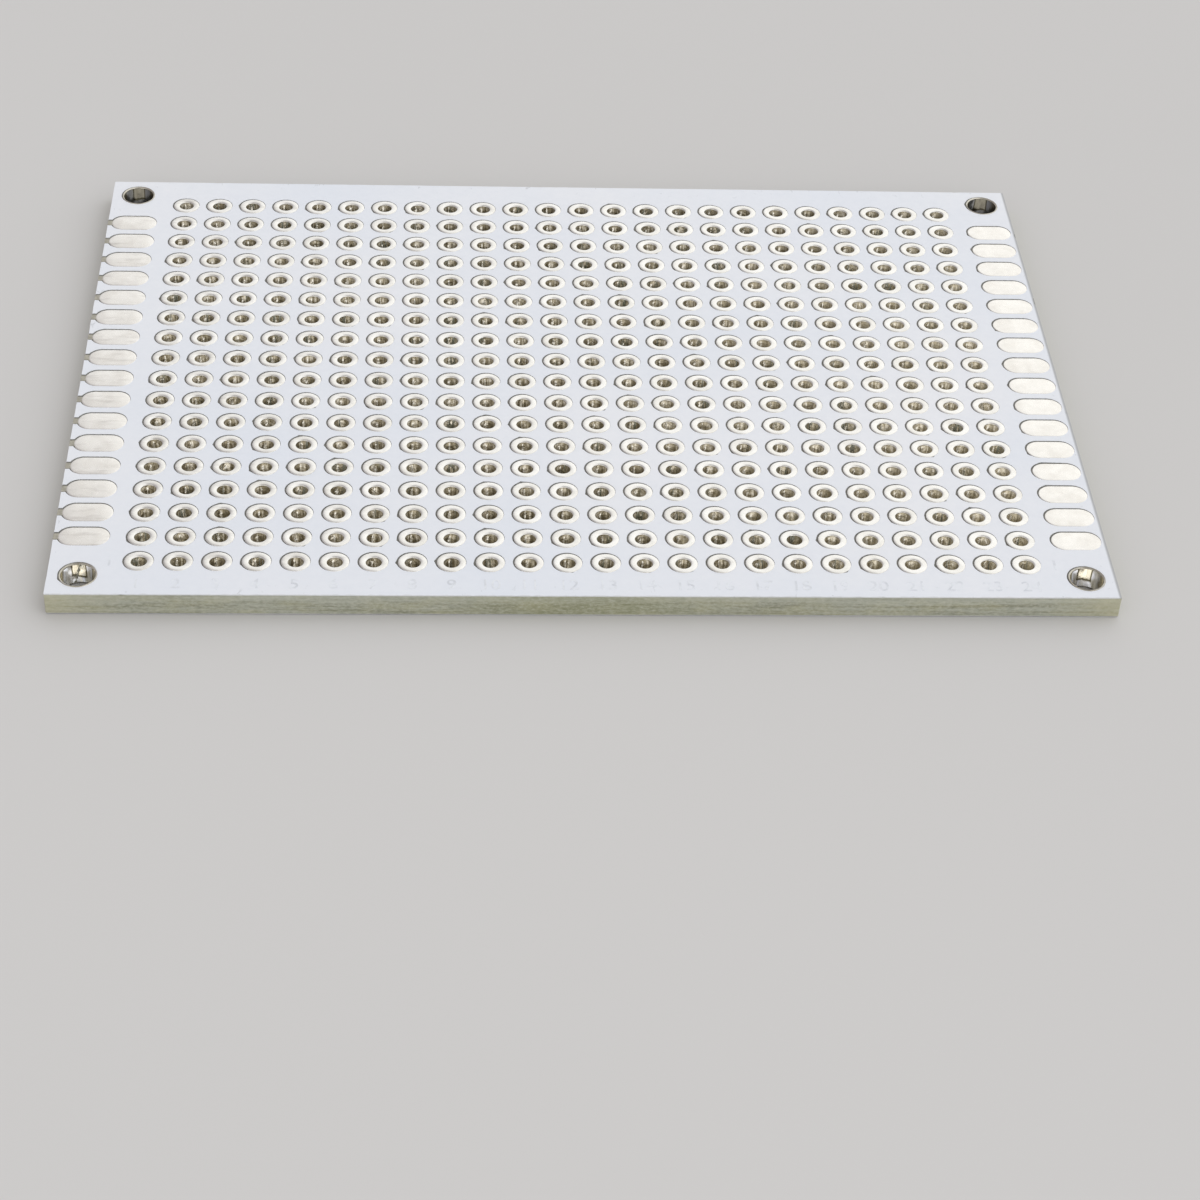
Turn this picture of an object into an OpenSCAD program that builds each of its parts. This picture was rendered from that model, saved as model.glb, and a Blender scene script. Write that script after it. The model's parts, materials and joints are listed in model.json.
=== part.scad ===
// Blank double-sided prototype board. A drilled glass-epoxy sheet carries a grid
// of plated-through lead holes, a row of oblong pads along each short side and a
// plated mounting hole in each corner, with white solder mask on both faces.
// The origin is the middle of the board, level with the crowns of its lower lands.
// X runs along the rows of holes, Y from the front row to the back row, Z up.

/* [Grid] */
// Distance between neighbouring lead holes, along a row and from row to row
pitch = 2.54; // [2.3:0.02:4]
// Lead holes in each row
columns = 24; // [4:1:40]

/* [Laminate] */
// From the outer lead holes' centres to the short edges
end_margin = 5.79; // [5.4:0.01:15]
// From the outer lead holes' centres to the long edges
side_margin = 3.41; // [2.4:0.01:15]
// Thickness of the bare laminate
laminate_t = 1.5; // [0.6:0.05:3]
// Radius of the board's corners, seen from above
corner_r = 0.15; // [0.05:0.05:3]

/* [Lead holes] */
// Finished diameter of a lead hole, inside its plating
hole_d = 1; // [0.6:0.05:1.4]
// Diameter of the land around a lead hole
land_d = 1.95; // [1.6:0.05:2.05]
// Thickness of the plating on a hole's wall
plating_t = 0.03; // [0.02:0.005:0.06]
// Height of a land or pad at its rim
land_t = 0.04; // [0.04:0.005:0.08]
// How far the solder crowns above the rim of a land or pad
crown_rise = 0.05; // [0.02:0.005:0.06]

/* [Mounting holes] */
// Finished diameter of a mounting hole
mount_hole_d = 2.2; // [1.6:0.1:3]
// Width of the narrow land around a mounting hole
mount_land_w = 0.15; // [0.1:0.05:0.3]
// From a mounting hole's centre to both edges beside it
mount_inset = 2; // [1.9:0.1:2.6]

/* [Edge pads] */
// Length of an oblong pad
pad_l = 3.4; // [2.2:0.1:3.8]
// Width of an oblong pad
pad_w = 1.9; // [1.2:0.05:2]
// From the outer end of a pad to the short edge
pad_setback = 0.3; // [0.2:0.05:0.4]
// Rows at each end of a short side that have no pad
pad_free_rows = 1; // [1:1:6]
// Width of the bare tie from a left pad to the edge
tie_w = 0.6; // [0.3:0.05:0.8]
// Thickness of the copper foil, which the ties are left at
foil_t = 0.035; // [0.015:0.005:0.035]

/* [Solder mask] */
// Thickness of the solder mask on each face
mask_t = 0.03; // [0.015:0.005:0.035]
// Least gap between a land and the mask, on the side that the print is shifted to
mask_gap = 0.02; // [0.01:0.005:0.05]
// How far the mask is printed off to the right
mask_shift_x = -0.05; // [-0.08:0.01:0.08]
// How far the mask is printed off to the back
mask_shift_y = 0.05; // [-0.08:0.01:0.08]

/* [Hidden] */
$fn = 40;

// One node holds the barrels of one row
rows = 18;
grid_l = (columns - 1) * pitch;
grid_w = (rows - 1) * pitch;
board_l = grid_l + 2 * end_margin;
board_w = grid_w + 2 * side_margin;

// Heights: a land's crown, and the laminate's lower and upper faces
land_h = land_t + crown_rise;
laminate_z = land_h;
top_z = laminate_z + laminate_t;

// Radii of the finished walls, of the drilled walls around them and of the lands
hole_r = hole_d / 2;
hole_drill_r = hole_r + plating_t;
land_r = land_d / 2;
mount_r = mount_hole_d / 2;
mount_drill_r = mount_r + plating_t;
mount_land_r = mount_r + mount_land_w;

// The mask's openings are wide enough to clear every land wherever the print lies
mask_shift = [mask_shift_x, mask_shift_y];
mask_relief = mask_gap + norm(mask_shift);

// How far a tie reaches in under its pad, and its opening out past the edge
tie_reach = 0.3;
// How many straight steps stand for a crown's curve; an even number
crown_steps = 6;

TIN = "#EEECE4";
MASK = "#E2E6EC";
GLASS_EPOXY = "#B7B99D";

function column_x(i) = (i - (columns + 1) / 2) * pitch;
function row_y(j) = (j - (rows + 1) / 2) * pitch;
function mount_place(side, end) =
    [side * (board_l / 2 - mount_inset), end * (board_w / 2 - mount_inset)];

// Points of the crown between x = from and x = to, from step first to the last
function crown(from, to, first = 0) = [
    for (i = [first : crown_steps])
        let (s = 2 * i / crown_steps - 1)
            [(from + to + s * (to - from)) / 2, land_t + crown_rise * (1 - s * s)]
];

module at_lead_holes() {
    for (j = [1 : rows], i = [1 : columns])
        translate([column_x(i), row_y(j)]) children();
}

module at_mounts() {
    for (side = [-1, 1], end = [-1, 1])
        translate(mount_place(side, end)) children();
}

// Places of the pads along one short side: -1 is the left side, 1 the right
module at_edge_pads(side) {
    for (j = [1 + pad_free_rows : rows - pad_free_rows])
        translate([side * (board_l / 2 - pad_setback - pad_l / 2), row_y(j)]) children();
}

module board_outline() {
    square([board_l - 2 * corner_r, board_w], center = true);
    square([board_l, board_w - 2 * corner_r], center = true);
    for (side = [-1, 1], end = [-1, 1])
        translate([side * (board_l / 2 - corner_r), end * (board_w / 2 - corner_r)])
            circle(corner_r);
}

// An oblong pad's outline, grown by a margin all round
module oblong(margin = 0) {
    square([pad_l - pad_w, pad_w + 2 * margin], center = true);
    for (end = [-1, 1])
        translate([end * (pad_l - pad_w) / 2, 0]) circle(pad_w / 2 + margin);
}

// A plated barrel, crown to crown: a tube with a crowned land at both ends
module barrel(bore_r, rim_r) {
    points = crown(bore_r, rim_r);
    drill_r = bore_r + plating_t;
    rotate_extrude()
        polygon(concat(
            [for (p = points) [p.x, top_z + p.y]],
            [[rim_r, top_z], [drill_r, top_z], [drill_r, laminate_z], [rim_r, laminate_z]],
            [for (i = [crown_steps : -1 : 0]) [points[i].x, laminate_z - points[i].y]]
        ));
}

// An oblong pad lying on z = 0, crowned across its width and rounded at its ends
module oblong_pad() {
    half_w = pad_w / 2;
    straight = pad_l - pad_w;
    rotate([90, 0, 90]) linear_extrude(straight, center = true)
        polygon(concat([[-half_w, 0]], crown(-half_w, half_w), [[half_w, 0]]));
    for (end = [0, 180])
        rotate(end) translate([straight / 2, 0]) rotate(-90) rotate_extrude(angle = 180)
            polygon(concat([[0, 0]], crown(-half_w, half_w, crown_steps / 2), [[half_w, 0]]));
}

// The strip of bare foil between a left pad and the edge
module tie() {
    translate([-pad_l / 2 - pad_setback, -tie_w / 2])
        cube([pad_setback + tie_reach, tie_w, foil_t]);
}

// The pads of one short side, lying on z = 0
module edge_pads(side) {
    at_edge_pads(side) {
        oblong_pad();
        if (side < 0) tie();
    }
}

// The mask's openings over one face's lands, pads and ties
module mask_openings() {
    at_lead_holes() circle(land_r + mask_relief);
    at_mounts() circle(mount_land_r + mask_relief);
    for (side = [-1, 1]) at_edge_pads(side) oblong(mask_relief);
    at_edge_pads(-1)
        translate([-pad_l / 2 - pad_setback - tie_reach, -tie_w / 2 - mask_relief])
            square([pad_setback + 2 * tie_reach, tie_w + 2 * mask_relief]);
}

module mask_sheet() {
    linear_extrude(mask_t) difference() {
        board_outline();
        translate(mask_shift) mask_openings();
    }
}

// Puts what lies on z = 0 on the upper face of the laminate
module on_top() {
    translate([0, 0, top_z]) children();
}

// Puts what lies on z = 0 under the lower face of the laminate
module underneath() {
    translate([0, 0, laminate_z]) mirror([0, 0, 1]) children();
}

module laminate() {
    color(GLASS_EPOXY) translate([0, 0, laminate_z]) linear_extrude(laminate_t)
        difference() {
            board_outline();
            at_lead_holes() circle(hole_drill_r);
            at_mounts() circle(mount_drill_r);
        }
}

module solder_mask_top() { color(MASK) on_top() mask_sheet(); }
module solder_mask_bottom() { color(MASK) underneath() mask_sheet(); }

module edge_pads_left_top() { color(TIN) on_top() edge_pads(-1); }
module edge_pads_right_top() { color(TIN) on_top() edge_pads(1); }
module edge_pads_left_bottom() { color(TIN) underneath() edge_pads(-1); }
module edge_pads_right_bottom() { color(TIN) underneath() edge_pads(1); }

module corner_barrel(side, end) {
    color(TIN) translate(mount_place(side, end)) barrel(mount_r, mount_land_r);
}

module hole_row(j) {
    color(TIN) for (i = [1 : columns])
        translate([column_x(i), row_y(j)]) barrel(hole_r, land_r);
}

laminate();
solder_mask_top();
solder_mask_bottom();
edge_pads_left_top();
edge_pads_right_top();
edge_pads_left_bottom();
edge_pads_right_bottom();
corner_barrel(-1, -1);  // corner_barrel_front_left
corner_barrel(1, -1);  // corner_barrel_front_right
corner_barrel(-1, 1);  // corner_barrel_back_left
corner_barrel(1, 1);  // corner_barrel_back_right
hole_row(1);  // hole_row_01
hole_row(2);  // hole_row_02
hole_row(3);  // hole_row_03
hole_row(4);  // hole_row_04
hole_row(5);  // hole_row_05
hole_row(6);  // hole_row_06
hole_row(7);  // hole_row_07
hole_row(8);  // hole_row_08
hole_row(9);  // hole_row_09
hole_row(10);  // hole_row_10
hole_row(11);  // hole_row_11
hole_row(12);  // hole_row_12
hole_row(13);  // hole_row_13
hole_row(14);  // hole_row_14
hole_row(15);  // hole_row_15
hole_row(16);  // hole_row_16
hole_row(17);  // hole_row_17
hole_row(18);  // hole_row_18
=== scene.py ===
import json
import math
import random

import bpy
from mathutils import Matrix, Vector, noise
from mathutils.geometry import delaunay_2d_cdt


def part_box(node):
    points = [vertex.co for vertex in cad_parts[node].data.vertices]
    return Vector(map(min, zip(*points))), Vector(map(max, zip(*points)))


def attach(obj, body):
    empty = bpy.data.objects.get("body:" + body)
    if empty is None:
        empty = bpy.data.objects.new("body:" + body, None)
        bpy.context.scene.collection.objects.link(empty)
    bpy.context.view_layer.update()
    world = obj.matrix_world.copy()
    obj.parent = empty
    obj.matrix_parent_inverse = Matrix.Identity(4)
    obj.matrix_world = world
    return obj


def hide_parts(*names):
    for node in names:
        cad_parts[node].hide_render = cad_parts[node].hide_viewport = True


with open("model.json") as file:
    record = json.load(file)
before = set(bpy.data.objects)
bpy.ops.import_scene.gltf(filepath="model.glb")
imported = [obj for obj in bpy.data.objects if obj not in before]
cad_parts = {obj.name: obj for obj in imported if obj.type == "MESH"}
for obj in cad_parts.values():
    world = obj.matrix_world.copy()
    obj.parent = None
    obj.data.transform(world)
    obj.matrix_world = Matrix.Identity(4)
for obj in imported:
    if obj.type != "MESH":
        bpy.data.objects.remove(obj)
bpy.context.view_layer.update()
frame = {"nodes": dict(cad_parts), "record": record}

MM = 0.001
TURN = math.tau
BODY = "root"
SEED = 2024
TINY = 0.001 * MM

# Camera, as the photograph was taken: it aims at a point near the middle of the
# board's front edge, from a little to the left, and leans slightly to one side.
IMAGE_PX = 1200
CAMERA_AIM = (0.684 * MM, -25.325 * MM)
CAMERA_DISTANCE = 175.29 * MM
CAMERA_AZIMUTH = math.radians(-4.54)
CAMERA_ELEVATION = math.radians(40.15)
CAMERA_ROLL = math.radians(3.134)
FOCAL_PX = 2710.6
SENSOR_MM = 36.0
SEEN_FROM, SEEN_TO = 0.005, 10.0

# Frame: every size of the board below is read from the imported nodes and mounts
nodes = frame["nodes"]
mounts = {m["name"]: m for m in frame["record"]["mounts"]}
grid = mounts["lead_hole_grid"]["dims"]
board_low, board_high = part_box("laminate")
mask_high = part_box("solder_mask_top")[1].z
mask_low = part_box("solder_mask_bottom")[0].z

row_names = sorted(n for n in nodes if n.startswith("hole_row_"))
row_boxes = [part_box(n) for n in row_names]
crown_low, crown_high = row_boxes[0][0].z, row_boxes[0][1].z
LAND_H = crown_high - board_high.z
LAND_R = (row_boxes[0][1].y - row_boxes[0][0].y) / 2
HOLE_R = grid["hole_r_mm"] * MM
PITCH = grid["spacing_x_mm"] * MM
row_places = [(low.y + high.y) / 2 for low, high in row_boxes]
first_column = row_boxes[0][0].x + LAND_R
column_count = round((row_boxes[0][1].x - LAND_R - first_column) / PITCH) + 1
column_places = [first_column + i * PITCH for i in range(column_count)]
lead_holes = [Vector((x, y)) for y in row_places for x in column_places]

mount_names = sorted(n for n in nodes if "_barrel_" in n)
mount_places = [sum(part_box(n), Vector()).xy / 2 for n in mount_names]
MOUNT_LAND_R = (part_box(mount_names[0])[1].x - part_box(mount_names[0])[0].x) / 2
MOUNT_R = mounts["screw_hole_front_left"]["dims"]["r_mm"] * MM

pad_low, pad_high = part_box("edge_pads_right_top")
pad_rows = [y for y in row_places if pad_low.y < y < pad_high.y]
PAD_L = pad_high.x - pad_low.x
PAD_W = (pad_high.y - pad_low.y) - (pad_rows[-1] - pad_rows[0])
PAD_X = (pad_low.x + pad_high.x) / 2
PAD_HALF_STRAIGHT = (PAD_L - PAD_W) / 2


def vertices_near(node, test):
    return [v.co for v in nodes[node].data.vertices if test(v.co)]


def mask_opening(place):
    """How far the mask's opening around a lead hole is off centre, and its radius."""
    near = vertices_near("solder_mask_top", lambda p: (p.xy - place).length < PITCH / 2)
    middle = sum((p.xy for p in near), Vector((0, 0))) / len(near)
    return middle - place, max((p.xy - middle).length for p in near)


def board_corner_r():
    """Radius of the board's corners: how far short of the side its front edge stops."""
    front = vertices_near("laminate", lambda p: p.y < board_low.y + TINY)
    return min(p.x for p in front) - board_low.x


def tie_size():
    """Half the width of a left pad's tie, and its thickness."""
    ends = vertices_near("edge_pads_left_top", lambda p: p.x < board_low.x + TINY)
    half_w = max(min(abs(p.y - y) for y in pad_rows) for p in ends)
    return half_w, max(p.z for p in ends) - board_high.z


mask_shift, opening_r = mask_opening(lead_holes[0])
MASK_RELIEF = opening_r - LAND_R
CORNER_R = board_corner_r()
TIE_HALF_W, FOIL_T = tie_size()


# Node materials

# The board's own places in millimetres, as the materials measure them
END_X = board_high.x / MM
SIDE_Y = board_high.y / MM
FACE_Z = board_high.z / MM
MIDDLE_Z = (board_low.z + board_high.z) / 2 / MM
COLUMN_X = first_column / MM
COLUMN_STEP = PITCH / MM
MOUNT_X = abs(mount_places[0].x) / MM

# The mask's edges, in millimetres: how far in they are scuffed, how far in the mask is grey
# along the right edge and where that starts to fade, and how far in it frays at the front
SCUFF_W = 1.6
GREY_W = 0.22
GREY_FULL_W = 0.1
FRAY_W = 0.3

# Solder in the holes, in millimetres: how much thicker it grows for each millimetre down, the
# painted highlight strip to the left of each lead hole's middle, the place from which painted
# shade turns the lead holes duller towards the back, and the pale patch of painted reflection in
# each mounting hole
DRAIN_SLOPE = 0.58
HIGHLIGHT_OFFSET = 0.13
HIGHLIGHT_HALF_W = 0.055
SHADE_FROM_Y = 8.0
REFLECTION_OUTSET = 0.09
REFLECTION_HALF_W = 0.44
REFLECTION_DEPTH = 0.9

# The laminate's sides, in millimetres: the green stretch in the middle of the long sides, the
# pale stretch at each corner, and the heights where the upper part turns lighter
GREEN_HALF_W = (3.0, 10.0)
PALE_W = 5.0
LIGHTER_Z = (0.9, 1.3)


def linear(hex_colour):
    """A colour written as sRGB hex, as the linear RGBA that a shader takes."""
    values = [int(hex_colour[i : i + 2], 16) / 255 for i in (1, 3, 5)]
    return (*[v / 12.92 if v <= 0.04045 else ((v + 0.055) / 1.055) ** 2.4 for v in values], 1.0)


class Material:
    """A procedural material: a Principled shader and the nodes that feed it."""

    def __init__(self, name, roughness, metallic=0.0, specular=0.5):
        self.material = bpy.data.materials.new(name)
        self.material.use_nodes = True
        self.tree = self.material.node_tree
        self.shader = self.tree.nodes["Principled BSDF"]
        self.shader.inputs["Roughness"].default_value = roughness
        self.shader.inputs["Metallic"].default_value = metallic
        self.shader.inputs["Specular IOR Level"].default_value = specular
        self.place = self.tree.nodes.new("ShaderNodeTexCoord").outputs["Object"]

    def node(self, kind, inputs=(), **settings):
        made = self.tree.nodes.new(kind)
        for key, value in settings.items():
            setattr(made, key, value)
        for socket, value in dict(inputs).items():
            if isinstance(value, bpy.types.NodeSocket):
                self.tree.links.new(value, made.inputs[socket])
            else:
                made.inputs[socket].default_value = value
        return made

    def noise(self, cells_per_mm, detail=3.0, roughness=0.5, distortion=0.0):
        """Noise from 0 to 1, with cells_per_mm one number or one for each axis."""
        if not isinstance(cells_per_mm, tuple):
            cells_per_mm = (cells_per_mm,) * 3
        scale = tuple(c / MM for c in cells_per_mm)
        place = self.node("ShaderNodeMapping", {"Vector": self.place, "Scale": scale})
        inputs = {
            "Vector": place.outputs["Vector"],
            "Scale": 1.0,
            "Detail": detail,
            "Roughness": roughness,
            "Distortion": distortion,
        }
        return self.node("ShaderNodeTexNoise", inputs).outputs["Fac"]

    def ramp(self, factor, stops):
        """A colour ramp through (position, hex colour) stops."""
        made = self.node("ShaderNodeValToRGB", {"Fac": factor})
        elements = made.color_ramp.elements
        while len(elements) < len(stops):
            elements.new(0.5)
        for element, (position, colour) in zip(elements, stops):
            element.position, element.color = position, linear(colour)
        return made.outputs["Color"]

    def mix(self, factor, first, hex_colour):
        """First, turned towards a colour by a factor."""
        inputs = {0: factor, 6: first, 7: linear(hex_colour)}
        return self.node("ShaderNodeMix", inputs, data_type="RGBA").outputs[2]

    def math(self, operation, first, second=0.0):
        return self.node("ShaderNodeMath", {0: first, 1: second}, operation=operation).outputs[0]

    def span(self, value, low, high, to_low=0.0, to_high=1.0):
        """Maps a value's stretch from low to high on to another stretch, and holds it there."""
        inputs = {"Value": value, "From Min": low, "From Max": high, "To Min": to_low, "To Max": to_high}
        return self.node("ShaderNodeMapRange", inputs).outputs["Result"]

    def coordinate(self, axis):
        """Place along one axis, in millimetres."""
        place = self.node("ShaderNodeSeparateXYZ", {"Vector": self.place}).outputs[axis]
        return self.math("DIVIDE", place, MM)

    def distance(self, axis):
        """Distance from the board's middle along one axis, in millimetres."""
        return self.math("ABSOLUTE", self.coordinate(axis))

    def depth(self):
        """Depth below the laminate's upper face, in millimetres."""
        return self.math("SUBTRACT", FACE_Z, self.coordinate("Z"))

    def off(self, value, target):
        """How far a value is from a number."""
        return self.math("ABSOLUTE", self.math("SUBTRACT", value, target))

    def bump(self, height, strength, depth_mm, normal=None):
        inputs = {"Height": height, "Strength": strength, "Distance": depth_mm * MM}
        if normal is not None:
            inputs["Normal"] = normal
        return self.node("ShaderNodeBump", inputs).outputs["Normal"]

    def feed(self, **sockets):
        """Links the shader's sockets, named as in base_color, and returns the material."""
        for key, value in sockets.items():
            self.tree.links.new(value, self.shader.inputs[key.replace("_", " ").title()])
        return self.material


def mask_material():
    """White solder mask: cool, faintly mottled, with a fine orange-peel skin and worn edges."""
    m = Material("solder_mask_white", roughness=0.42)
    cloud = m.noise(0.06, detail=4.0)
    grain = m.noise(2.2)
    colour = m.ramp(cloud, [(0.3, "#E0E6F0"), (0.7, "#E8EBF1")])
    colour = m.mix(m.span(grain, 0.35, 0.75, 0.0, 0.14), colour, "#D5DCE7")
    colour = worn_mask_edges(m, colour)
    skin = m.bump(m.noise(5.0, detail=2.0), 0.12, 0.02)
    return m.feed(base_color=colour, roughness=m.span(grain, 0.3, 0.7, 0.36, 0.5), normal=skin)


def worn_mask_edges(m, colour):
    """The mask's colour with a few scuffs near its edges, grey along the right edge, and frayed at
    the front."""
    scuff = m.span(m.noise((2.6, 1.5, 1.0), detail=4.0, distortion=0.8), 0.66, 0.72, 0.0, 0.4)
    to_end = m.span(m.distance("X"), END_X - SCUFF_W, END_X)
    to_side = m.span(m.distance("Y"), SIDE_Y - SCUFF_W, SIDE_Y)
    colour = m.mix(m.math("MULTIPLY", scuff, m.math("MAXIMUM", to_end, to_side)), colour, "#9DA2A6")
    grey = m.span(m.coordinate("X"), END_X - GREY_W, END_X - GREY_FULL_W, 0.0, 0.85)
    colour = m.mix(grey, colour, "#9FA1A3")
    fray = m.math("MULTIPLY", m.noise(1.8, detail=4.0), FRAY_W)
    from_front = m.math("ADD", m.coordinate("Y"), SIDE_Y)
    return m.mix(m.span(from_front, 0.0, fray, 0.6, 0.0), colour, "#A3A59C")


def ink_material():
    """White marking ink, a shade off the mask below it."""
    m = Material("marking_ink", roughness=0.5)
    return m.feed(base_color=m.ramp(m.noise(1.2), [(0.45, "#E4E9F0"), (0.65, "#D0D5DD")]))


def solder_material(name, bright, dull, roughness, uneven=1.0, left_greying=0.0):
    """Levelled solder: warm white, softly clouded, with fine grain and shallow waves. Greyer streaky
    patches lie along the board, fading out from its left end to its middle."""
    m = Material(name, roughness=roughness, metallic=1.0)
    colour = m.ramp(m.noise(0.9), [(0.28, dull), (0.62, bright)])
    if left_greying:
        greying = m.span(m.noise((0.5, 2.4, 1.0), detail=3.0), 0.55, 0.7, 0.0, left_greying)
        left = m.span(m.coordinate("X"), -END_X, 0.0, 1.0, 0.0)
        colour = m.mix(m.math("MULTIPLY", greying, left), colour, "#A5A09C")
    rough = m.span(m.noise(2.5, detail=2.0), 0.3, 0.7, roughness - 0.06, roughness + 0.08)
    waves = m.bump(m.noise((1.1, 1.8, 1.6), detail=2.0), 0.35, 0.03 * uneven)
    grain = m.bump(m.noise((7.0, 14.0, 14.0), detail=2.0), 0.03, 0.008, waves)
    return m.feed(base_color=colour, roughness=rough, normal=grain)


def drained(m):
    """The normal of a hole's wall whose solder grows thicker downwards."""
    return m.bump(m.math("MULTIPLY", m.depth(), DRAIN_SLOPE), 1.0, 1.0)


def bore_material():
    """Solder inside a lead hole: uneven up the wall in pale streaks that are partly painted highlight,
    with painted shade that darkens it to olive towards both ends of the hole, and one painted
    highlight strip down each hole. Painted light makes it a little paler towards the right, and
    painted shade makes it duller towards the back."""
    m = Material("hole_wall", roughness=0.16, metallic=0.55)
    streaks = m.noise((4.5, 4.5, 0.4), distortion=0.4)
    lumps = m.noise((3.5, 3.5, 2.2), detail=2.0)
    # Streaks of uneven solder up the wall, their palest parts partly painted highlight
    colour = m.ramp(streaks, [(0.38, "#837A63"), (0.51, "#B3AA93"), (0.62, "#F4EEDE")])
    colour = m.mix(m.span(lumps, 0.5, 0.7, 0.0, 0.7), colour, "#766D55")
    # Painted shade: darker olive towards both ends of the hole
    lip_shade = m.span(m.off(m.coordinate("Z"), MIDDLE_Z), 0.45, 0.8, 0.0, 0.6)
    colour = m.mix(lip_shade, colour, "#786D54")
    # Painted light: paler towards the right
    light_to_right = m.span(m.coordinate("X"), 0.0, END_X, 0.0, 0.28)
    colour = m.mix(light_to_right, colour, "#F4EBD2")
    # Painted shade: duller towards the back
    shade_to_back = m.span(m.coordinate("Y"), SHADE_FROM_Y, SIDE_Y, 0.0, 0.5)
    colour = m.mix(shade_to_back, colour, "#5A523E")
    # Painted highlight: a bright strip down each lead hole
    colour = m.mix(bright_run(m, lumps), colour, "#FFFDF4")
    streaked = m.bump(streaks, 0.8, 0.06, drained(m))
    return m.feed(base_color=colour, normal=m.bump(lumps, 1.0, 0.08, streaked))


def bright_run(m, lumps):
    """Share of the painted highlight strip at a point of a lead hole's wall: full within a ragged
    strip, and none near the upper lip."""
    columns = m.math("DIVIDE", m.math("SUBTRACT", m.coordinate("X"), COLUMN_X - HIGHLIGHT_OFFSET), COLUMN_STEP)
    off_highlight = m.off(m.math("FRACT", m.math("ADD", columns, 0.5)), 0.5)
    off_highlight = m.math("ADD", off_highlight, m.span(lumps, 0.3, 0.7, -0.02, 0.03))
    half_w = HIGHLIGHT_HALF_W / COLUMN_STEP
    highlight_share = m.span(off_highlight, half_w, 1.6 * half_w, 1.0, 0.0)
    return m.math("MULTIPLY", highlight_share, m.span(m.math("ADD", m.depth(), lumps), 0.6, 0.8))


def barrel_wall_material():
    """The wall of a mounting hole: shiny solder coloured with a painted reflection, a pale patch below
    the upper lip with a dull line around it, a pale grey surround and olive beyond, and painted
    shade that darkens the holes at the back."""
    m = Material("mount_wall", roughness=0.16, metallic=0.85)
    ripples = m.noise((1.6, 1.6, 0.5), detail=2.0, distortion=0.3)
    beyond = beyond_patch(m, ripples)
    # Painted reflection: a pale patch below the upper lip, a dull line around it, a pale grey surround
    # and olive beyond
    colour = m.ramp(m.span(beyond, -0.2, 0.8), [
        (0.14, "#F4EEDC"),
        (0.18, "#69634D"),
        (0.23, "#69634D"),
        (0.29, "#F2F4FA"),
        (0.58, "#E5E8ED"),
        (0.69, "#857E67"),
        (0.85, "#B8B199"),
    ])
    streaks = m.noise((3.0, 3.0, 0.3), detail=3.0)
    colour = m.mix(m.span(streaks, 0.5, 0.66, 0.0, 0.35), colour, "#8C8468")
    # Painted shade: the holes at the back darker
    colour = m.mix(m.span(m.coordinate("Y"), -SIDE_Y / 2, SIDE_Y / 2, 0.0, 0.82), colour, "#2A281F")
    shiny = m.span(beyond, 0.03, 0.08, 0.85, 0.7)
    return m.feed(base_color=colour, metallic=shiny, normal=m.bump(ripples, 0.35, 0.12, drained(m)))


def beyond_patch(m, ripples):
    """How far a point of a mounting hole's wall is outside the painted reflection's pale patch, in
    millimetres.
    """
    beside = m.math("SUBTRACT", m.off(m.distance("X"), MOUNT_X + REFLECTION_OUTSET), REFLECTION_HALF_W)
    below = m.math("MULTIPLY", m.math("SUBTRACT", m.depth(), REFLECTION_DEPTH), 0.6)
    beyond = m.math("MAXIMUM", beside, below)
    return m.math("ADD", beyond, m.span(ripples, 0.3, 0.7, -0.06, 0.06))


def laminate_material():
    """Sawn glass-epoxy: olive plies under a fuzz of torn threads, paler and yellower near the
    corners, greener and darker in the middle of the long sides."""
    m = Material("glass_epoxy", roughness=0.62)
    plies = m.noise((0.12, 0.12, 4.0), detail=4.0, roughness=0.6, distortion=0.5)
    threads = m.noise((2.4, 2.4, 6.0), detail=5.0, roughness=0.7)
    blotches = m.noise((0.5, 0.5, 1.4), detail=3.0)
    colour = m.ramp(plies, [(0.3, "#7A7C66"), (0.5, "#95988A"), (0.7, "#A7AA9E")])
    colour = m.mix(m.span(m.distance("X"), *GREEN_HALF_W, 0.6, 0.0), colour, "#82845F")
    colour = m.mix(m.span(blotches, 0.45, 0.7, 0.0, 0.5), colour, "#A6A588")
    colour = m.mix(m.span(threads, 0.45, 0.7, 0.0, 0.6), colour, "#C2C2B6")
    colour = m.mix(m.span(threads, 0.3, 0.45, 0.4, 0.0), colour, "#6A6B55")
    colour = m.mix(m.span(m.coordinate("Z"), *LIGHTER_Z, 0.0, 0.25), colour, "#BFC2B8")
    colour = m.mix(m.span(m.distance("X"), END_X - PALE_W, END_X, 0.0, 0.45), colour, "#BDBA9C")
    return m.feed(base_color=colour, normal=m.bump(threads, 0.6, 0.04))


def bared_face_material():
    """The laminate's face where the mask leaves it bare: grey brown, rough from the etched foil, and
    darkened as painted shade for the narrow gaps beside the lands, where it shows.
    """
    m = Material("bared_face_and_shade", roughness=0.7)
    # Partly painted shade: darker than the bare laminate, for the gaps beside the lands
    colour = m.ramp(m.noise(3.0, detail=4.0), [(0.3, "#5F5E59"), (0.7, "#7C7B76")])
    return m.feed(base_color=colour)


def foil_material():
    """The bare copper ties under thin tin and tarnish, olive grey."""
    m = Material("bare_tie", roughness=0.5, metallic=0.6)
    return m.feed(base_color=m.ramp(m.noise(3.0), [(0.35, "#98958A"), (0.65, "#B0ADA1")]))


def floor_material():
    m = Material("floor", roughness=0.9, specular=0.2)
    return m.feed(base_color=m.ramp(m.noise(0.004, detail=2.0), [(0.3, "#CDCDCD"), (0.7, "#D2D2D2")]))


# Meshes

SHARP_ANGLE = math.radians(50)


def new_mesh(name, verts, faces):
    mesh = bpy.data.meshes.new(name)
    mesh.from_pydata(verts, [], faces)
    return mesh


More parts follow.
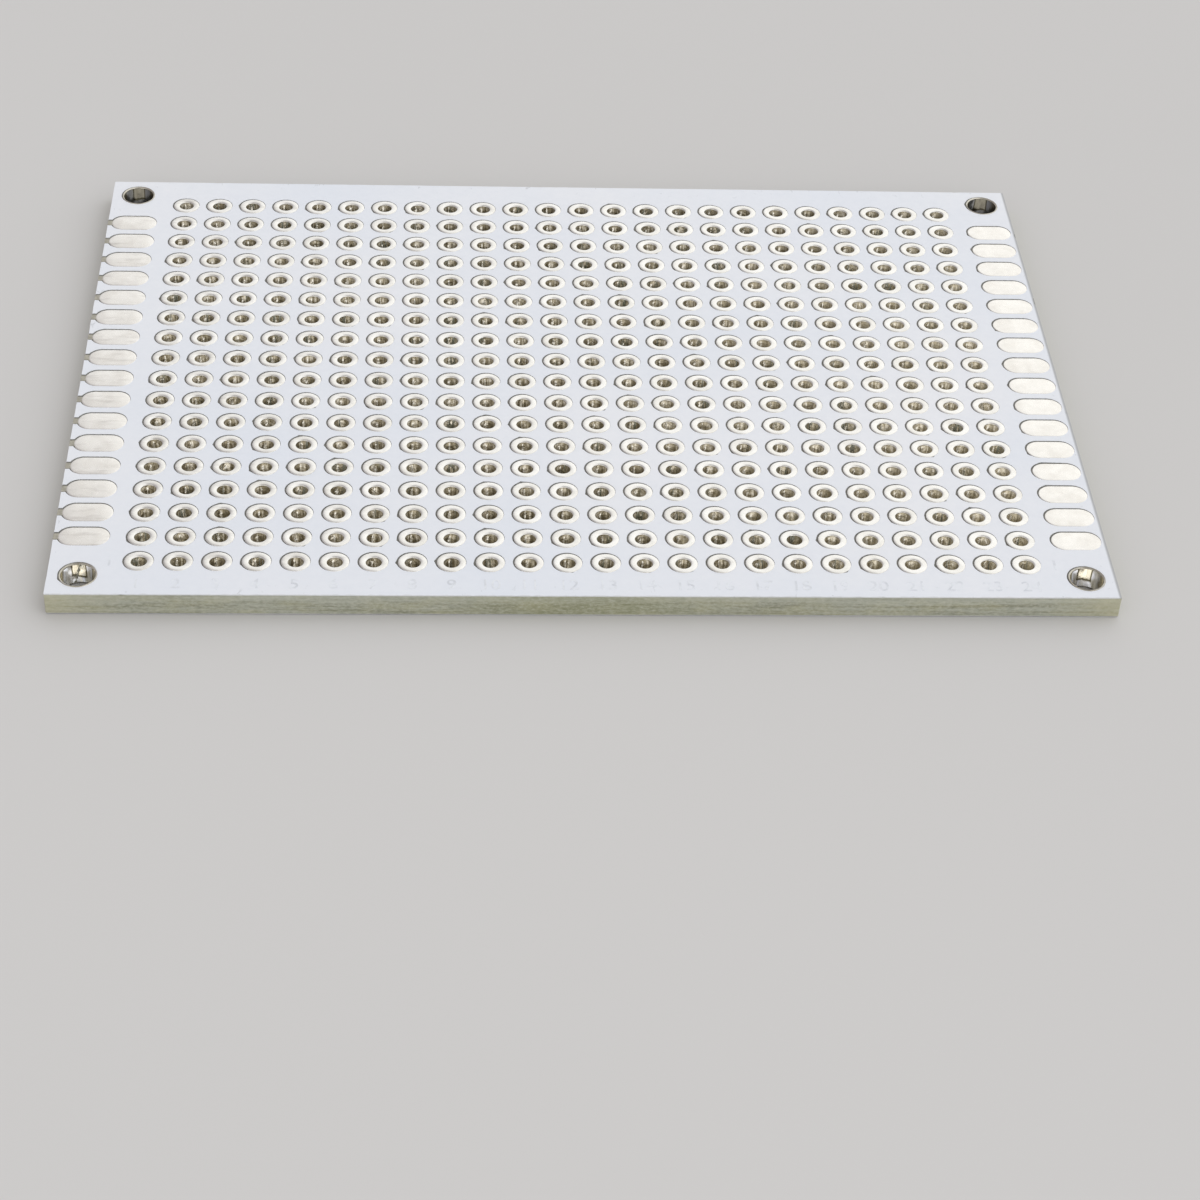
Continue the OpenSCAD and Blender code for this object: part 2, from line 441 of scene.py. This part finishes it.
def smooth(mesh):
    """Smooth faces, with the sharp edges kept sharp."""
    mesh.polygons.foreach_set("use_smooth", [True] * len(mesh.polygons))
    mesh.set_sharp_from_angle(angle=SHARP_ANGLE)


def add_piece(mesh, materials, replaced):
    """Puts a mesh in the scene as a piece that rides on the board and stands for CAD nodes."""
    for material in materials:
        mesh.materials.append(material)
    piece = bpy.data.objects.new(mesh.name, mesh)
    bpy.context.scene.collection.objects.link(piece)
    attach(piece, BODY)
    if replaced:
        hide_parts(*replaced)
    return piece


def arc(centre, radius, start, end, steps):
    """Points of an arc in (radius, height), from angle start to end in degrees, both included."""
    angles = [math.radians(start + (end - start) * i / steps) for i in range(steps + 1)]
    return [(centre[0] + radius * math.cos(a), centre[1] + radius * math.sin(a)) for a in angles]


def waves(draw, height, counts):
    """A closed curve's random waviness: offset by angle, with the given numbers of waves in a turn."""
    parts = [(k, draw.uniform(-1, 1) * height, draw.uniform(0, TURN)) for k in counts]
    return lambda angle: sum(h * math.sin(k * angle + start) for k, h, start in parts)


# Plated barrels: a bore with a crowned land at both ends

# Section of a land: the rounds of its lip and its rim, each a radius or at most a share of the
# land's width, how far below the shoulder the rim's round is centred in its own radii, the
# shoulder's height as a share of the solder's, and the crown's points between lip and rim
LIP_R = 0.12 * MM
LIP_MOST_SHARE = 0.7
RIM_R = 0.035 * MM
RIM_MOST_SHARE = 0.2
RIM_DROP = 1.25
SHOULDER_SHARE = 0.86
CROWN_SHARES = (0.25, 0.5, 0.75)

# Unevenness: the lowest crown as a share of the highest, the waves of a land's rim and of a
# bore, and how far the bore's waves turn with height, as radians a metre
LOW_CROWN_SHARE = 0.86
LAND_WAVE = 0.006 * MM
BORE_WAVE = 0.022 * MM
BORE_TWIST = 0.25 / MM

PLATING_T = 0.03 * MM
BORE_LEVELS = 3
HOLE_SEGMENTS = 24
MOUNT_SEGMENTS = 64


def land_section(bore_r, rim_r, rise):
    """Half of a barrel's section as (radius, height above the laminate), from bore to rim."""
    lip_r = min(LIP_R, (rim_r - bore_r) * LIP_MOST_SHARE)
    edge_r = min(RIM_R, (rim_r - bore_r) * RIM_MOST_SHARE)
    shoulder = rise * SHOULDER_SHARE
    lip = arc((bore_r + lip_r, shoulder - lip_r), lip_r, 180, 100, 4)
    rim = arc((rim_r - edge_r, shoulder - edge_r * RIM_DROP), edge_r, 75, 0, 2)
    crown = []
    for share in CROWN_SHARES:
        radius = lip[-1][0] + (rim[0][0] - lip[-1][0]) * share
        height = lip[-1][1] + (rim[0][1] - lip[-1][1]) * share
        crown.append((radius, height + (rise - height) * math.sin(math.pi * share)))
    return lip + crown + rim + [(rim_r, 0.0), (bore_r + PLATING_T, 0.0)]


def barrel_rings(bore_r, rim_r, draw):
    """A barrel's closed section, from the upper lip over both lands and back up the bore."""
    tallest = draw.uniform(LOW_CROWN_SHARE, 1.0) * LAND_H
    upper = [(r, board_high.z + h) for r, h in land_section(bore_r, rim_r, tallest)]
    tallest = draw.uniform(LOW_CROWN_SHARE, 1.0) * LAND_H
    lower = [(r, board_low.z - h) for r, h in land_section(bore_r, rim_r, tallest)]
    top, bottom = upper[0][1], lower[0][1]
    levels = [bottom + (top - bottom) * i / BORE_LEVELS for i in range(1, BORE_LEVELS)]
    return upper + lower[::-1] + [(bore_r, z) for z in levels]


def barrel_verts(place, rings, bore_r, rim_r, segments, draw):
    """A barrel's points, ring by ring, with a slight unevenness of its own."""
    land_wave = waves(draw, LAND_WAVE, (2, 3, 5))
    bore_wave = waves(draw, BORE_WAVE, (3, 4, 7))
    verts = []
    for radius, z in rings:
        share = (radius - bore_r) / (rim_r - bore_r)
        for s in range(segments):
            angle = TURN * s / segments
            r = radius - abs(land_wave(angle)) * share
            if radius <= bore_r:
                r += abs(bore_wave(angle + (z - board_low.z) * BORE_TWIST))
            verts.append((place[0] + r * math.cos(angle), place[1] + r * math.sin(angle), z))
    return verts


def barrel_faces(start, rings, bore_r, segments):
    """A barrel's faces, each with its material's number, which is 1 in the bore and 0 elsewhere."""
    faces = []
    for i, (radius, _) in enumerate(rings):
        j = (i + 1) % len(rings)
        in_bore = radius <= bore_r and rings[j][0] <= bore_r
        ring, following = start + i * segments, start + j * segments
        for s in range(segments):
            t = (s + 1) % segments
            faces.append(((ring + s, following + s, following + t, ring + t), int(in_bore)))
    return faces


def lathe_barrels(name, places, bore_r, rim_r, segments, draw):
    """Barrels with a little unevenness each. The bore's faces take the second material."""
    verts, faces = [], []
    for place in places:
        rings = barrel_rings(bore_r, rim_r, draw)
        faces += barrel_faces(len(verts), rings, bore_r, segments)
        verts += barrel_verts(place, rings, bore_r, rim_r, segments, draw)
    mesh = new_mesh(name, verts, [face for face, _ in faces])
    mesh.polygons.foreach_set("material_index", [material for _, material in faces])
    smooth(mesh)
    return mesh


# Oblong outlines and pads

OPENING_STEPS = 32
MOUNT_OPENING_STEPS = 64
PAD_STEPS = 40

# A pad's rim as a share of the solder's height, the places of its crown's points as shares of
# the way in from the rim, and how far a tie runs in under its pad
PAD_RIM_SHARE = 0.42
PAD_CROWN_SHARES = (0.1, 0.22, 0.38, 0.56, 0.76, 0.9)
TIE_REACH = 0.3 * MM


def rim_point(centre, half_straight, radius, angle):
    """A point of a circle or, with a straight stretch, of an oblong."""
    x = math.copysign(half_straight, math.cos(angle)) + radius * math.cos(angle)
    return Vector((centre[0] + x, centre[1] + radius * math.sin(angle)))


def rim_loop(centre, half_straight, radius_at, steps):
    """Points right round a circle or an oblong, with its radius by angle."""
    angles = [TURN * (i + 0.5) / steps for i in range(steps)]
    return [rim_point(centre, half_straight, radius_at(a), a) for a in angles]


def pad_section():
    """An oblong pad's section as (radius, height), from its foot up over the rounded rim."""
    half_w = PAD_W / 2
    rim = [(half_w, 0.0)] + arc((half_w - RIM_R, LAND_H * PAD_RIM_SHARE - RIM_R), RIM_R, 0, 72, 3)
    start_r, start_h = rim[-1]
    crown = []
    for share in PAD_CROWN_SHARES:
        height = start_h + (LAND_H - start_h) * (1 - (1 - share) ** 2)
        crown.append((start_r * (1 - share), height))
    return rim + crown


def add_box(verts, faces, low, high):
    """A box's six faces, wound outwards."""
    start = len(verts)
    for z in (low[2], high[2]):
        verts += [(low[0], low[1], z), (high[0], low[1], z), (high[0], high[1], z), (low[0], high[1], z)]
    quads = [(3, 2, 1, 0), (4, 5, 6, 7), (0, 1, 5, 4), (1, 2, 6, 5), (2, 3, 7, 6), (3, 0, 4, 7)]
    faces += [tuple(start + i for i in quad) for quad in quads]


def add_pad(verts, faces, centre, draw):
    """One oblong pad lying on height 0, with its own slight waviness."""
    wave = waves(draw, LAND_WAVE, (2, 3, 4))
    start = len(verts)
    section = pad_section()
    for radius, height in section:
        loop = rim_loop(centre, PAD_HALF_STRAIGHT, lambda a: radius - abs(wave(a)), PAD_STEPS)
        verts += [(p.x, p.y, height) for p in loop]
    for k in range(len(section) - 1):
        ring = start + k * PAD_STEPS
        for s in range(PAD_STEPS):
            t = (s + 1) % PAD_STEPS
            faces.append((ring + s, ring + t, ring + PAD_STEPS + t, ring + PAD_STEPS + s))
    last = start + (len(section) - 1) * PAD_STEPS
    faces.append(tuple(range(last, last + PAD_STEPS)))


def edge_pad_mesh(name, side, upwards, draw):
    """The oblong pads of one short side on one face, with the left side's ties."""
    verts, faces = [], []
    for y in pad_rows:
        add_pad(verts, faces, (side * PAD_X, y), draw)
    pad_faces = len(faces)
    if side < 0:
        tie_end = -PAD_X - PAD_L / 2 + TIE_REACH
        for y in pad_rows:
            low = (board_low.x, y - TIE_HALF_W, 0.0)
            add_box(verts, faces, low, (tie_end, y + TIE_HALF_W, FOIL_T))
    if upwards:
        verts = [(x, y, board_high.z + z) for x, y, z in verts]
    else:
        verts = [(x, y, board_low.z - z) for x, y, z in verts]
        faces = [face[::-1] for face in faces]
    mesh = new_mesh(name, verts, faces)
    mesh.polygons.foreach_set("material_index", [0] * pad_faces + [1] * (len(faces) - pad_faces))
    smooth(mesh)
    return mesh


# Sheets with openings: the laminate and the two masks

EDGE_STEP = 0.25 * MM
CORNER_STEPS = 4
DRILL_STEPS = 16
MOUNT_DRILL_STEPS = 48
SAME_POINT_MM = 1e-5

# Wear along the sides: how deep it is, and how fine as cells a millimetre. The saw's marks have
# one fineness along the side and one up it, and a share each of plies and torn threads.
SAW_LEVELS = 11
SAW_DEPTH = 0.035 * MM
SAWN_PLIES = (0.12, 4.5)
SAWN_THREADS = (1.6, 7.0)
PLY_SHARE = 0.3
THREAD_SHARE = 0.2
MASK_EDGE_DEPTH = 0.03 * MM
MASK_EDGE_FINENESS = 1.3
CHIP_DEPTH = 0.12 * MM
CHIP_FINENESS = 0.9
CHIP_LIMIT = 0.52
CHIP_LEVEL = 40

# Print: how much tighter it is than in the frame, more so around the mounting holes, how far it
# is off centre, how wavy it is, and the nicks at its openings
TIGHTER_PRINT = 0.055 * MM
MOUNT_OVERLAP = 0.035 * MM
PRINT_SHIFT = 1.3 * mask_shift
PRINT_WAVE = 0.004 * MM
NICK_SHARE = 0.6
NICK_DEPTH = (0.05, 0.11)
NICK_HALF_WIDTH = math.radians(8)
NICK_ANGLES = [math.radians(a) for a in (182, 190, 197, 215, 100, 300)]
NICK_SPREAD = 0.2


def along(start, end, step):
    """Points from start to just before end, about a step apart."""
    count = max(1, round((end - start).length / step))
    return [start.lerp(end, i / count) for i in range(count)]


def corner(centre, start):
    """The points of a rounded corner of the board, a quarter turn from the angle start."""
    angles = [math.radians(start + 90 * i / CORNER_STEPS) for i in range(CORNER_STEPS)]
    return [centre + CORNER_R * Vector((math.cos(a), math.sin(a))) for a in angles]


def board_outline(left_side=None):
    """The board's outline, counterclockwise from the front left corner. left_side gives the
    points of its left side, from the back to the front, if that side isn't straight."""
    low, high, r = board_low.xy, board_high.xy, CORNER_R
    left_start, left_end = Vector((low.x, high.y - r)), Vector((low.x, low.y + r))
    loop = corner(Vector((low.x + r, low.y + r)), 180)
    loop += along(Vector((low.x + r, low.y)), Vector((high.x - r, low.y)), EDGE_STEP)
    loop += corner(Vector((high.x - r, low.y + r)), 270)
    loop += along(Vector((high.x, low.y + r)), Vector((high.x, high.y - r)), EDGE_STEP)
    loop += corner(Vector((high.x - r, high.y - r)), 0)
    loop += along(Vector((high.x - r, high.y)), Vector((low.x + r, high.y)), EDGE_STEP)
    loop += corner(Vector((low.x + r, high.y - r)), 90)
    loop += left_side(left_start, left_end) if left_side else along(left_start, left_end, EDGE_STEP)
    return loop


def tied_side(start, end):
    """The mask's left side from back to front. At each pad it runs in along the tie, round the
    pad and back out to the edge."""
    half_w = TIE_HALF_W + MASK_RELIEF
    radius = PAD_W / 2 + MASK_RELIEF - TIGHTER_PRINT
    meeting = math.asin(half_w / radius)
    sweep = TURN - 2 * meeting
    loop, place = [], start
    for y in reversed(pad_rows):
        centre = Vector((-PAD_X, y)) + PRINT_SHIFT
        loop += along(place, Vector((start.x, centre.y + half_w)), EDGE_STEP)
        loop.append(Vector((start.x, centre.y + half_w)))
        for i in range(PAD_STEPS + 1):
            angle = math.pi - meeting - sweep * i / PAD_STEPS
            loop.append(rim_point(centre, PAD_HALF_STRAIGHT, radius, angle))
        place = Vector((start.x, centre.y - half_w))
    return loop + along(place, end, EDGE_STEP)


def worn_in(loop, depth_at):
    """The loop with each point on the board's edge moved towards the middle by a depth."""
    moved = []
    for p in loop:
        depth = depth_at(p)
        x = min(max(p.x, board_low.x + depth), board_high.x - depth)
        y = min(max(p.y, board_low.y + depth), board_high.y - depth)
        moved.append(Vector((x, y)))
    return moved


def noise_at(p, cells, level):
    """Noise from about -1 to 1 at a point in plan, in cells a millimetre, on one of its levels."""
    return noise.noise(Vector((p.x / MM * cells, p.y / MM * cells, level)))


def chipped(level):
    """Depth of wear along the mask's edge: a slight wander, with a chip here and there."""

    def depth_at(p):
        wander = noise_at(p, MASK_EDGE_FINENESS, level)
        coarse = noise_at(p, CHIP_FINENESS, level + CHIP_LEVEL)
        chip = max(0.0, coarse - CHIP_LIMIT) / (1 - CHIP_LIMIT)
        return MASK_EDGE_DEPTH * (0.5 + 0.5 * wander) + CHIP_DEPTH * chip

    return depth_at


def sawn(z):
    """Depth of the saw's marks in the laminate's side at a height: plies and torn threads."""

    def depth_at(p):
        ply = noise_at(p, SAWN_PLIES[0], z / MM * SAWN_PLIES[1])
        thread = noise_at(p, SAWN_THREADS[0], z / MM * SAWN_THREADS[1])
        return SAW_DEPTH * (0.5 + PLY_SHARE * ply + THREAD_SHARE * thread)

    return depth_at


def printed_edge(radius, draw):
    """Radius by angle of an opening in the mask: wavy, and on some with a nick."""
    wave = waves(draw, PRINT_WAVE, (2, 3, 5))
    middle = draw.choice(NICK_ANGLES) + draw.uniform(-NICK_SPREAD, NICK_SPREAD)
    nick = draw.uniform(*NICK_DEPTH) * MM if draw.random() < NICK_SHARE else 0.0

    def radius_at(angle):
        off = (angle - middle + math.pi) % TURN - math.pi
        worn = abs(wave(angle)) + nick * math.exp(-((off / NICK_HALF_WIDTH) ** 2))
        return radius - TIGHTER_PRINT + worn

    return radius_at


def mask_openings(draw):
    """The openings of one mask, apart from those that reach the board's edge."""
    loops = []
    for place in lead_holes:
        edge = printed_edge(LAND_R + MASK_RELIEF, draw)
        loops.append(rim_loop(place + PRINT_SHIFT, 0, edge, OPENING_STEPS))
    for place in mount_places:
        edge = printed_edge(MOUNT_LAND_R + MASK_RELIEF - MOUNT_OVERLAP, draw)
        loops.append(rim_loop(place + PRINT_SHIFT, 0, edge, MOUNT_OPENING_STEPS))
    for y in pad_rows:
        edge = printed_edge(PAD_W / 2 + MASK_RELIEF, draw)
        centre = Vector((PAD_X, y)) + PRINT_SHIFT
        loops.append(rim_loop(centre, PAD_HALF_STRAIGHT, edge, PAD_STEPS))
    return loops


def drilled_holes():
    """The laminate's drilled holes, just outside the barrels' plating."""
    small, large = HOLE_R + PLATING_T, MOUNT_R + PLATING_T
    loops = [rim_loop(place, 0, lambda a: small, DRILL_STEPS) for place in lead_holes]
    return loops + [rim_loop(place, 0, lambda a: large, MOUNT_DRILL_STEPS) for place in mount_places]


def fill(loops):
    """Triangles that fill the first loop less the others, as numbers of the loops' points."""
    points = [p / MM for loop in loops for p in loop]
    edges = []
    for loop in loops:
        start = len(edges)
        edges += [(start + i, start + (i + 1) % len(loop)) for i in range(len(loop))]
    outline = list(range(len(loops[0])))
    within_less_holes = 2
    made = delaunay_2d_cdt(points, edges, [outline], within_less_holes, SAME_POINT_MM)
    number = [origins[0] for origins in made[3]]
    return [tuple(number[i] for i in face) for face in made[2]]


def sheet_mesh(name, outline, openings, z_low, z_high, side_loops=()):
    """A sheet between two heights. side_loops are further outlines down its side, as
    (height, loop). Its two faces take the second material and its walls the first."""
    loops = [outline] + [loop[::-1] for loop in openings]
    triangles = fill(loops)
    flat = [p for loop in loops for p in loop]
    count = len(flat)
    verts = [(p.x, p.y, z_high) for p in flat] + [(p.x, p.y, z_low) for p in flat]
    faces = list(triangles) + [tuple(i + count for i in reversed(face)) for face in triangles]
    start = 0
    for loop in loops:
        rings = [list(range(start, start + len(loop)))]
        if start == 0:
            for z, side_loop in side_loops:
                rings.append(list(range(len(verts), len(verts) + len(loop))))
                verts += [(p.x, p.y, z) for p in side_loop]
        rings.append([i + count for i in rings[0]])
        for upper, lower in zip(rings, rings[1:]):
            for i in range(len(loop)):
                j = (i + 1) % len(loop)
                faces.append((lower[i], lower[j], upper[j], upper[i]))
        start += len(loop)
    mesh = new_mesh(name, verts, faces)
    walls = len(faces) - 2 * len(triangles)
    mesh.polygons.foreach_set("material_index", [1] * (2 * len(triangles)) + [0] * walls)
    return mesh


def laminate_mesh():
    outline = board_outline()
    drop = board_low.z - board_high.z
    heights = [board_high.z + drop * i / SAW_LEVELS for i in range(1, SAW_LEVELS)]
    side_loops = [(z, worn_in(outline, sawn(z))) for z in heights]
    edge = worn_in(outline, sawn(board_high.z))
    mesh = sheet_mesh("laminate_sawn", edge, drilled_holes(), board_low.z, board_high.z, side_loops)
    smooth(mesh)
    return mesh


def mask_mesh(name, z_low, z_high, draw):
    outline = worn_in(board_outline(tied_side), chipped(z_low / MM))
    return sheet_mesh(name, outline, mask_openings(draw), z_low, z_high)


# Index numbers beside the grid

INK_T = 0.012 * MM
NUMBER_SIZE = 1.4 * MM
NUMBER_INSET = 1.15 * MM
ROW_NUMBER_SETBACK = 3.9 * MM
STROKE_STEPS = 3


def number_mesh(number):
    """A plain number, centred on the origin and as thick as the ink."""
    curve = bpy.data.curves.new("number", "FONT")
    curve.body = str(number)
    curve.size = NUMBER_SIZE
    curve.align_x, curve.align_y = "CENTER", "CENTER"
    curve.extrude = INK_T / 2
    curve.resolution_u = STROKE_STEPS
    text = bpy.data.objects.new("number", curve)
    mesh = bpy.data.meshes.new_from_object(text)
    bpy.data.objects.remove(text)
    return mesh


def legend_mesh():
    """Column numbers along the front edge, and row numbers beside the front row."""
    front = board_low.y + NUMBER_INSET
    marks = [(i + 1, x, front) for i, x in enumerate(column_places)]
    marks += [(1, side * (board_high.x - ROW_NUMBER_SETBACK), row_places[0]) for side in (-1, 1)]
    verts, faces = [], []
    for number, x, y in marks:
        mesh = number_mesh(number)
        start = len(verts)
        verts += [(v.co.x + x, v.co.y + y, v.co.z + mask_high + INK_T / 2) for v in mesh.vertices]
        faces += [tuple(i + start for i in p.vertices) for p in mesh.polygons]
        bpy.data.meshes.remove(mesh)
    return new_mesh("index_numbers", verts, faces)


# Camera, room and floor

# The room: its colour overhead, then the walls that it turns into around the board, each
# as (direction, where it starts and is full as the cosine of the angle to it, colour)
OVERHEAD = (1.03, 1.035, 1.05)
WALLS = (
    ((-0.80, 0.25, 0.60), 0.35, 0.95, (0.58, 0.55, 0.56)),
    ((0.62, 0.70, 0.42), 0.40, 0.98, (1.38, 1.37, 1.34)),
    ((0.10, -0.97, 0.10), 0.35, 0.90, (1.60, 1.55, 1.48)),
    ((-0.10, -0.55, 0.85), 0.80, 0.97, (0.50, 0.48, 0.46)),
)
FLOOR_HALF = 3.0


def make_camera():
    aim = Vector((*CAMERA_AIM, mask_high))
    flat = math.cos(CAMERA_ELEVATION)
    back = Vector((
        math.sin(CAMERA_AZIMUTH) * flat,
        -math.cos(CAMERA_AZIMUTH) * flat,
        math.sin(CAMERA_ELEVATION),
    ))
    data = bpy.data.cameras.new("camera")
    data.sensor_width = SENSOR_MM
    data.lens = FOCAL_PX * SENSOR_MM / IMAGE_PX
    data.clip_start, data.clip_end = SEEN_FROM, SEEN_TO
    camera = bpy.data.objects.new("camera", data)
    bpy.context.scene.collection.objects.link(camera)
    turn = back.to_track_quat("Z", "Y").to_matrix() @ Matrix.Rotation(CAMERA_ROLL, 3, "Z")
    camera.matrix_world = Matrix.Translation(aim + back * CAMERA_DISTANCE) @ turn.to_4x4()
    bpy.context.scene.camera = camera


def make_world():
    """A soft pale room: dim to the left and high up in front, bright behind the board to the
    right, and brightest low in front."""
    world = bpy.data.worlds.new("studio")
    bpy.context.scene.world = world
    world.use_nodes = True
    tree = world.node_tree
    direction = tree.nodes.new("ShaderNodeTexCoord").outputs["Generated"]
    colour = None
    for toward, start, full, wall in WALLS:
        dot = tree.nodes.new("ShaderNodeVectorMath")
        dot.operation = "DOT_PRODUCT"
        dot.inputs[1].default_value = Vector(toward).normalized()
        tree.links.new(direction, dot.inputs[0])
        share = tree.nodes.new("ShaderNodeMapRange")
        share.interpolation_type = "SMOOTHSTEP"
        share.inputs["From Min"].default_value = start
        share.inputs["From Max"].default_value = full
        tree.links.new(dot.outputs["Value"], share.inputs["Value"])
        mix = tree.nodes.new("ShaderNodeMix")
        mix.data_type = "RGBA"
        mix.inputs[6].default_value = (*OVERHEAD, 1)
        mix.inputs[7].default_value = (*wall, 1)
        tree.links.new(share.outputs["Result"], mix.inputs[0])
        if colour is not None:
            tree.links.new(colour, mix.inputs[6])
        colour = mix.outputs[2]
    tree.links.new(colour, tree.nodes["Background"].inputs["Color"])


def make_floor():
    h = FLOOR_HALF
    mesh = new_mesh("floor", [(-h, -h, 0), (h, -h, 0), (h, h, 0), (-h, h, 0)], [(0, 1, 2, 3)])
    mesh.materials.append(floor_material())
    piece = bpy.data.objects.new("floor", mesh)
    piece.location.z = crown_low
    bpy.context.scene.collection.objects.link(piece)


# The board

draw = random.Random(SEED)
mask = mask_material()
land_solder = solder_material("land_solder", "#DFDEDB", "#D2D0CB", 0.20, uneven=2.4, left_greying=0.38)
pad_solder = solder_material("pad_solder", "#E0DEDA", "#D6D3CE", 0.28, uneven=0.4, left_greying=0.32)
# Painted shade: the mounting holes' rings get a darker copy of the solder
barrel_solder = solder_material("barrel_solder", "#C4C0B6", "#9A968B", 0.16)
bore = bore_material()
barrel_wall = barrel_wall_material()
foil = foil_material()

add_piece(laminate_mesh(), (laminate_material(), bared_face_material()), ("laminate",))
for name, z_low, z_high in (
    ("solder_mask_top", board_high.z, mask_high),
    ("solder_mask_bottom", mask_low, board_low.z),
):
    add_piece(mask_mesh(name + "_print", z_low, z_high, draw), (mask, mask), (name,))
for name, side, upwards in (
    ("edge_pads_left_top", -1, True),
    ("edge_pads_right_top", 1, True),
    ("edge_pads_left_bottom", -1, False),
    ("edge_pads_right_bottom", 1, False),
):
    mesh = edge_pad_mesh(name + "_solder", side, upwards, draw)
    add_piece(mesh, (pad_solder, foil), (name,))
for name, place in zip(mount_names, mount_places):
    mesh = lathe_barrels(name + "_solder", [place], MOUNT_R, MOUNT_LAND_R, MOUNT_SEGMENTS, draw)
    add_piece(mesh, (barrel_solder, barrel_wall), (name,))
for name, y in zip(row_names, row_places):
    places = [(x, y) for x in column_places]
    mesh = lathe_barrels(name + "_solder", places, HOLE_R, LAND_R, HOLE_SEGMENTS, draw)
    add_piece(mesh, (land_solder, bore), (name,))
add_piece(legend_mesh(), (ink_material(),), ())

make_camera()
make_world()
make_floor()
bpy.context.scene.view_settings.view_transform = "Standard"
